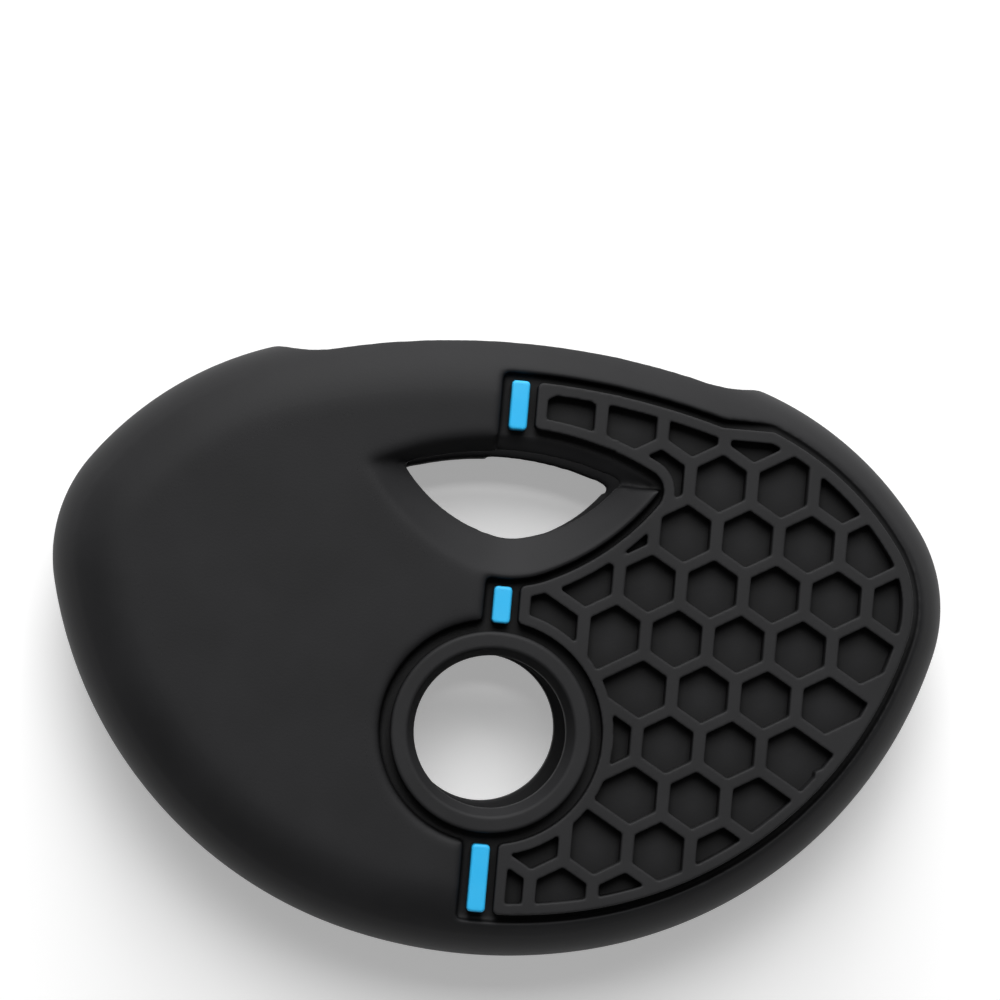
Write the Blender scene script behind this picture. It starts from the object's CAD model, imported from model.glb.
import bmesh
import bpy
import math
from mathutils import Matrix, Vector


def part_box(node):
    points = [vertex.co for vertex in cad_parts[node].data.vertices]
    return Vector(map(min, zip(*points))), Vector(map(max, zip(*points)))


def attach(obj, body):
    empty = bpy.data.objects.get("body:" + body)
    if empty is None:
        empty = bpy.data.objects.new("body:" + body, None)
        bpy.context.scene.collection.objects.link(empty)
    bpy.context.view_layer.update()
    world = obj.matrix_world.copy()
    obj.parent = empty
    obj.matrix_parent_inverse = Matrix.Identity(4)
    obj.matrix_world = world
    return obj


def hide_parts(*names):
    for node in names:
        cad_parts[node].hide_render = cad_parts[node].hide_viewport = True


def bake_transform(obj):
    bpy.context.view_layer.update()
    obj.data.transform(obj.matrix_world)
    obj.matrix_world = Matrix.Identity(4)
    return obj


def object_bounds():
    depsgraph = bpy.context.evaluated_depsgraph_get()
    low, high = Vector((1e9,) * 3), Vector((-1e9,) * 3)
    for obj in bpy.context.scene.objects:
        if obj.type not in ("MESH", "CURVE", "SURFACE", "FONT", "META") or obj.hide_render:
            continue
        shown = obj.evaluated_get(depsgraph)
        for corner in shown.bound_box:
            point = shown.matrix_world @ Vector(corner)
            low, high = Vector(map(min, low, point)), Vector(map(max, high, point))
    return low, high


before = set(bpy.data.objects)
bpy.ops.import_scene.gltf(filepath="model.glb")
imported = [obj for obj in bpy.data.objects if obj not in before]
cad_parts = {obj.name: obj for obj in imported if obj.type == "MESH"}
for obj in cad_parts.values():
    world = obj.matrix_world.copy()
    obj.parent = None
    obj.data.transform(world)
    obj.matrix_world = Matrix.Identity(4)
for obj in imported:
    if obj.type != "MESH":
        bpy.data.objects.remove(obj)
cad_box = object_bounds()

MM = 0.001
SEAM_LEVEL = 0.0

# Moulding: grid that a surface is rebuilt on, rounds of softening of its edges and share of its faces kept.
# The shell's grid is turned, so that its steps don't run along the mouth.
SHELL_GRID = 0.12 * MM
SHELL_ROUNDS = 90
SHELL_KEEP_SHARE = 0.22
SHELL_TURN = math.radians(17)
GRIP_GRID = 0.1 * MM
GRIP_ROUNDS = 7
GRIP_KEEP_SHARE = 0.5
RING_GRID = 0.1 * MM
RING_ROUNDS = 8
BAR_GRID = 0.06 * MM
BAR_ROUNDS = 6
SMALL_KEEP_SHARE = 1.0
SOFTEN_SHARE = 0.5

# Grooves stay crisp: band above and below their floor, and share of the softening there and elsewhere
GROOVE_BAND = 0.2 * MM
GROOVE_SHARE = 0.15
FULL_SHARE = 1.0

# Lips: how far their ends reach into the shell, and how far past their root and ends they are cut off
LIP_OVERLAP = 0.2 * MM
LIP_CUT_GAP = 0.05 * MM
LIP_ROOT_GAP = 0.4 * MM

# Points closer than this count as one
NEAR = 0.001 * MM

# Camera: what lies at the middle of the picture, and where it is seen from
AIM = Vector((-0.83, 16.8, 7.5)) * MM
DISTANCE = 250 * MM
TILT_LEFT = math.radians(3.4)
TILT_LOW = math.radians(2.4)
ROLL = math.radians(5.0)
FACE_PIXELS_PER_MM = 13.8
PICTURE_PIXELS = 1000
SENSOR = 36.0
CLIP_SHARE = 0.01

# Light and floor: the lamps' power is in watts, the floor's size in metres
WORLD_COLOUR = (1, 1, 1, 1)
WORLD_STRENGTH = 0.1
KEY_PLACE = Vector((-20, 330, 520)) * MM
KEY_SIZE = 360 * MM
KEY_POWER = 2.7
BACK_PLACE = Vector((-40, 560, 230)) * MM
BACK_SIZE = 300 * MM
BACK_POWER = 2.0
FLOOR_SIZE = 3.0
FLOOR_COLOUR = (0.9, 0.9, 0.9, 1)
FLOOR_GLOW = 0.34
FLOOR_ROUGHNESS = 0.9
FLOOR_SPECULAR = 0.1

# Silicone: colours, roughness, gloss, scale per metre of its cloudy tone and grain, and a groove's shade
BLACK = (0.015, 0.015, 0.016)
BLACK_RUBBED = (0.021, 0.021, 0.0225)
GRIP_BLACK = (0.019, 0.019, 0.02)
GRIP_RUBBED = (0.026, 0.026, 0.0275)
BLUE = (0.065, 0.58, 1.0)
BLUE_DEEP = (0.02, 0.52, 1.0)
BLACK_ROUGHNESS = (0.56, 0.66)
BLUE_ROUGHNESS = (0.38, 0.48)
SPECULAR = 0.22
CLOUD_SCALE = 140.0
CLOUD_DETAIL = 3.0
CLOUD_SHARES = (0.3, 0.75)
GRAIN_SCALE = 5200.0
GRAIN_DETAIL = 3.0
GRAIN_HEIGHT = 0.02 * MM
SHADE_REACH = 1.6 * MM
SHADE_SAMPLES = 4
SHELL_GRAIN_SHARE = 0.3
GRIP_GRAIN_SHARE = 0.2
BLUE_GRAIN_SHARE = 0.1

scene = bpy.context.scene
lip_low, lip_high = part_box("front_lip")
LIP_HALF = lip_high.x
LIP_CUT = LIP_HALF + LIP_CUT_GAP
LIP_ROOT = lip_low.y - LIP_ROOT_GAP
GROOVE_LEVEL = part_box("front_bar_middle")[0].z


# Meshes

def link(obj):
    """Put an object into the scene."""
    scene.collection.objects.link(obj)
    return obj


def to_mesh(name, bm):
    """Turn a working mesh into a finished one."""
    mesh = bpy.data.meshes.new(name)
    bm.to_mesh(mesh)
    bm.free()
    return mesh


def joined_mesh(name, nodes):
    """One mesh of several nodes. A lip's ends reach into its neighbours, so that the slits close."""
    bm = bmesh.new()
    for node in nodes:
        known = len(bm.verts)
        bm.from_mesh(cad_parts[node].data)
        bm.verts.ensure_lookup_table()
        if "lip" in node:
            for vert in bm.verts[known:]:
                if abs(abs(vert.co.x) - LIP_HALF) < NEAR:
                    vert.co.x += math.copysign(LIP_OVERLAP, vert.co.x)
    bmesh.ops.remove_doubles(bm, verts=bm.verts, dist=NEAR)
    return to_mesh(name, bm)


def with_modifiers(obj):
    """The mesh that an object's modifiers make. The object itself goes."""
    bpy.context.view_layer.update()
    mesh = bpy.data.meshes.new_from_object(obj.evaluated_get(bpy.context.evaluated_depsgraph_get()))
    bpy.data.objects.remove(obj)
    return mesh


def rebuilt(name, nodes, grid, turn):
    """An even mesh of squares in the place of some nodes, on a turned grid."""
    mesh = joined_mesh(name, nodes)
    mesh.transform(Matrix.Rotation(turn, 4, "Z"))
    obj = link(bpy.data.objects.new(name, mesh))
    model = link(bpy.data.objects.new(name + "_model", mesh))
    rebuild = obj.modifiers.new("rebuild", "REMESH")
    rebuild.mode = "VOXEL"
    rebuild.voxel_size = grid
    settle = obj.modifiers.new("settle", "SHRINKWRAP")
    settle.target = model
    even = with_modifiers(obj)
    bpy.data.objects.remove(model)
    even.transform(Matrix.Rotation(-turn, 4, "Z"))
    return even


def moulded(name, nodes, grid, rounds, keep_share, turn=0):
    """A soft-edged moulding in the place of some nodes, as a mesh."""
    obj = link(bpy.data.objects.new(name, rebuilt(name, nodes, grid, turn)))
    zones = {FULL_SHARE: [], GROOVE_SHARE: []}
    for vert in obj.data.vertices:
        in_groove = abs(abs(vert.co.z) - GROOVE_LEVEL) < GROOVE_BAND
        zones[GROOVE_SHARE if in_groove else FULL_SHARE].append(vert.index)
    group = obj.vertex_groups.new(name="soft")
    for share, verts in zones.items():
        group.add(verts, share, "REPLACE")
    soften = obj.modifiers.new("soften", "SMOOTH")
    soften.factor = SOFTEN_SHARE
    soften.iterations = rounds
    soften.vertex_group = group.name
    thin = obj.modifiers.new("thin", "DECIMATE")
    thin.ratio = keep_share
    return with_modifiers(obj)


def close_rims(bm):
    """Fill the open ends of a cut mesh, with a sharp edge round each."""
    rims = [edge for edge in bm.edges if edge.is_boundary]
    for edge in rims:
        edge.smooth = False
    bmesh.ops.holes_fill(bm, edges=rims)


def front_half(mesh):
    """The part of a mesh that lies in front of the seam."""
    bm = bmesh.new()
    bm.from_mesh(mesh)
    bmesh.ops.bisect_plane(bm, geom=bm.verts[:] + bm.edges[:] + bm.faces[:], dist=NEAR,
                           plane_co=(0, 0, SEAM_LEVEL), plane_no=(0, 0, 1), clear_inner=True)
    close_rims(bm)
    return to_mesh(mesh.name, bm)


def split_at_lip(mesh, planes):
    """Cut a mesh across the lip at some x, and return the meshes between the cuts with the rest first."""
    bm = bmesh.new()
    bm.from_mesh(mesh)
    for x in planes:
        faces = {face for vert in bm.verts if vert.co.y > LIP_ROOT for face in vert.link_faces}
        edges = {edge for face in faces for edge in face.edges}
        verts = {vert for face in faces for vert in face.verts}
        bmesh.ops.bisect_plane(bm, geom=list(verts) + list(edges) + list(faces),
                               plane_co=(x, 0, 0), plane_no=(1, 0, 0), dist=NEAR)
    bounds = sorted(planes)
    spans = list(zip(bounds, bounds[1:]))

    def zone(face):
        middle = face.calc_center_median()
        if middle.y > LIP_ROOT:
            for i, (low, high) in enumerate(spans, start=1):
                if low < middle.x < high:
                    return i
        return 0

    zones = [zone(face) for face in bm.faces]
    pieces = []
    for wanted in range(len(spans) + 1):
        part = bm.copy()
        part.faces.ensure_lookup_table()
        extra = [part.faces[i] for i, found in enumerate(zones) if found != wanted]
        bmesh.ops.delete(part, geom=extra, context="FACES")
        close_rims(part)
        pieces.append(to_mesh(mesh.name, part))
    bm.free()
    return pieces


def turned_over(mesh):
    """The mirror image of a mesh through the seam."""
    bm = bmesh.new()
    bm.from_mesh(mesh)
    for vert in bm.verts:
        vert.co.z = 2 * SEAM_LEVEL - vert.co.z
    bmesh.ops.reverse_faces(bm, faces=bm.faces)
    return to_mesh(mesh.name, bm)


def piece(name, mesh, material):
    """A smooth-shaded object of one material."""
    obj = link(bpy.data.objects.new(name, mesh))
    mesh.name = name
    mesh.materials.clear()
    mesh.materials.append(material)
    mesh.polygons.foreach_set("use_smooth", [True] * len(mesh.polygons))
    return obj


# Materials

def new_material(name):
    """A material with its nodes, its links and its shader."""
    material = bpy.data.materials.new(name)
    material.use_nodes = True
    nodes = material.node_tree.nodes
    links = material.node_tree.links
    return material, nodes, links, nodes["Principled BSDF"]


def noise(nodes, links, scale, detail):
    """A grey value that varies from place to place on the object."""
    place = nodes.new("ShaderNodeTexCoord")
    texture = nodes.new("ShaderNodeTexNoise")
    texture.inputs["Scale"].default_value = scale
    texture.inputs["Detail"].default_value = detail
    links.new(place.outputs["Object"], texture.inputs["Vector"])
    return texture.outputs["Fac"]


def ramp(nodes, links, source, first, last):
    """Map a cloudy grey value onto two colours."""
    band = nodes.new("ShaderNodeValToRGB")
    for element, share, colour in zip(band.color_ramp.elements, CLOUD_SHARES, (first, last)):
        element.position = share
        element.color = (*colour, 1)
    links.new(source, band.inputs["Fac"])
    return band.outputs["Color"]


def span(nodes, links, source, limits):
    """Map a grey value from 0 to 1 onto a range of numbers."""
    stretch = nodes.new("ShaderNodeMapRange")
    stretch.inputs["To Min"].default_value, stretch.inputs["To Max"].default_value = limits
    links.new(source, stretch.inputs["Value"])
    return stretch.outputs["Result"]


def silicone(name, dark, light, roughness, grain_share):
    """Matt moulded silicone: faint cloudy tone that deepens in grooves, fine grain and a soft sheen."""
    material, nodes, links, shader = new_material(name)
    clouds = noise(nodes, links, CLOUD_SCALE, CLOUD_DETAIL)
    shade = nodes.new("ShaderNodeAmbientOcclusion")
    shade.inputs["Distance"].default_value = SHADE_REACH
    shade.samples = SHADE_SAMPLES
    links.new(ramp(nodes, links, clouds, dark, light), shade.inputs["Color"])
    links.new(shade.outputs["Color"], shader.inputs["Base Color"])
    links.new(span(nodes, links, clouds, roughness), shader.inputs["Roughness"])
    bump = nodes.new("ShaderNodeBump")
    bump.inputs["Strength"].default_value = grain_share
    bump.inputs["Distance"].default_value = GRAIN_HEIGHT
    links.new(noise(nodes, links, GRAIN_SCALE, GRAIN_DETAIL), bump.inputs["Height"])
    links.new(bump.outputs["Normal"], shader.inputs["Normal"])
    shader.inputs["Specular IOR Level"].default_value = SPECULAR
    return material


# Pieces

silicone_black = silicone("black_silicone", BLACK, BLACK_RUBBED, BLACK_ROUGHNESS, SHELL_GRAIN_SHARE)
silicone_grip = silicone("grip_silicone", GRIP_BLACK, GRIP_RUBBED, BLACK_ROUGHNESS, GRIP_GRAIN_SHARE)
silicone_blue = silicone("blue_silicone", BLUE_DEEP, BLUE, BLUE_ROUGHNESS, BLUE_GRAIN_SHARE)


def add_half(side, flip):
    """All the pieces of one half, in their places."""
    lip = f"{side}_lip"
    shell, left, right = [flip(mesh) for mesh in shell_meshes]
    grip, tail = [flip(mesh) for mesh in grip_meshes]

    def add(name, mesh, material, node):
        obj = piece(f"{side}_{name}_skin", mesh, material)
        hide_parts(f"{side}_{node}")
        return obj

    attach(add("shell", shell, silicone_black, "shell"), "sleeve")
    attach(add("grip", grip, silicone_grip, "grip"), "sleeve")
    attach(add("ring", flip(ring_mesh), silicone_grip, "ring"), "sleeve")
    for name, mesh, end in (("lip_left", left, -LIP_CUT), ("lip_right", right, LIP_CUT)):
        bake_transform(add(name, mesh, silicone_black, "lip"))
    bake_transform(add("lip_grip", tail, silicone_grip, "lip_grip"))
    for kind, mesh in bar_meshes.items():
        bar = add(f"bar_{kind}", flip(mesh), silicone_blue, f"bar_{kind}")
        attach(bar, lip if kind == "top" else "sleeve")


sleeve = moulded("shell", ("front_shell", "front_lip", "rear_shell", "rear_lip"),
                 SHELL_GRID, SHELL_ROUNDS, SHELL_KEEP_SHARE, SHELL_TURN)
shell_meshes = split_at_lip(front_half(sleeve), (-LIP_CUT, 0, LIP_CUT))
grip_pad = moulded("grip", ("front_grip", "front_lip_grip"), GRIP_GRID, GRIP_ROUNDS, GRIP_KEEP_SHARE)
grip_meshes = split_at_lip(grip_pad, (0, LIP_CUT))
ring_mesh = moulded("ring", ("front_ring",), RING_GRID, RING_ROUNDS, SMALL_KEEP_SHARE)
bar_meshes = {kind: moulded(f"bar_{kind}", (f"front_bar_{kind}",), BAR_GRID, BAR_ROUNDS, SMALL_KEEP_SHARE)
              for kind in ("top", "middle", "base")}
add_half("front", lambda mesh: mesh.copy())
add_half("rear", turned_over)


# Stage

def add_floor():
    """A pale floor, a little brighter to the eye and in reflections than its light makes it."""
    bm = bmesh.new()
    bmesh.ops.create_grid(bm, x_segments=1, y_segments=1, size=FLOOR_SIZE / 2)
    mesh = to_mesh("floor", bm)
    floor = link(bpy.data.objects.new("floor", mesh))
    floor.location.z = cad_box[0][2]
    material, nodes, links, shader = new_material("floor")
    shader.inputs["Base Color"].default_value = FLOOR_COLOUR
    shader.inputs["Roughness"].default_value = FLOOR_ROUGHNESS
    shader.inputs["Specular IOR Level"].default_value = FLOOR_SPECULAR
    path = nodes.new("ShaderNodeLightPath")
    seen = path.outputs["Is Camera Ray"]
    for kind in ("Is Glossy Ray", "Is Transmission Ray"):
        either = nodes.new("ShaderNodeMath")
        either.operation = "MAXIMUM"
        links.new(seen, either.inputs[0])
        links.new(path.outputs[kind], either.inputs[1])
        seen = either.outputs[0]
    strength = nodes.new("ShaderNodeMath")
    strength.operation = "MULTIPLY"
    strength.inputs[1].default_value = FLOOR_GLOW
    links.new(seen, strength.inputs[0])
    glow = nodes.new("ShaderNodeEmission")
    links.new(strength.outputs[0], glow.inputs["Strength"])
    total = nodes.new("ShaderNodeAddShader")
    links.new(shader.outputs[0], total.inputs[0])
    links.new(glow.outputs[0], total.inputs[1])
    links.new(total.outputs[0], nodes["Material Output"].inputs["Surface"])
    mesh.materials.append(material)


def add_lamp(name, place, size, power):
    """A soft square lamp that faces the cover."""
    lamp = bpy.data.lights.new(name, "AREA")
    lamp.size = size
    lamp.energy = power
    obj = link(bpy.data.objects.new(name, lamp))
    obj.location = place
    obj.rotation_euler = (AIM - place).to_track_quat("-Z", "Y").to_euler()


def add_world():
    """A faint even light from all sides."""
    world = bpy.data.worlds.new("studio")
    world.use_nodes = True
    background = world.node_tree.nodes["Background"]
    background.inputs["Color"].default_value = WORLD_COLOUR
    background.inputs["Strength"].default_value = WORLD_STRENGTH
    scene.world = world


def add_camera():
    """A camera that looks at the face from a little to the left and below, turned by the roll."""
    camera = bpy.data.cameras.new("camera")
    camera.sensor_width = SENSOR
    camera.lens = SENSOR * FACE_PIXELS_PER_MM * DISTANCE / MM / PICTURE_PIXELS
    camera.clip_start = DISTANCE * CLIP_SHARE
    obj = link(bpy.data.objects.new("camera", camera))
    lean = Vector((-math.tan(TILT_LEFT), -math.tan(TILT_LOW), 1)).normalized()
    right = Vector((-math.sin(ROLL), math.cos(ROLL), 0)).cross(lean).normalized()
    obj.location = AIM + lean * DISTANCE
    obj.rotation_euler = Matrix((right, lean.cross(right), lean)).transposed().to_euler()
    scene.camera = obj


add_floor()
add_world()
add_lamp("key", KEY_PLACE, KEY_SIZE, KEY_POWER)
add_lamp("back", BACK_PLACE, BACK_SIZE, BACK_POWER)
add_camera()
scene.view_settings.view_transform = "Standard"
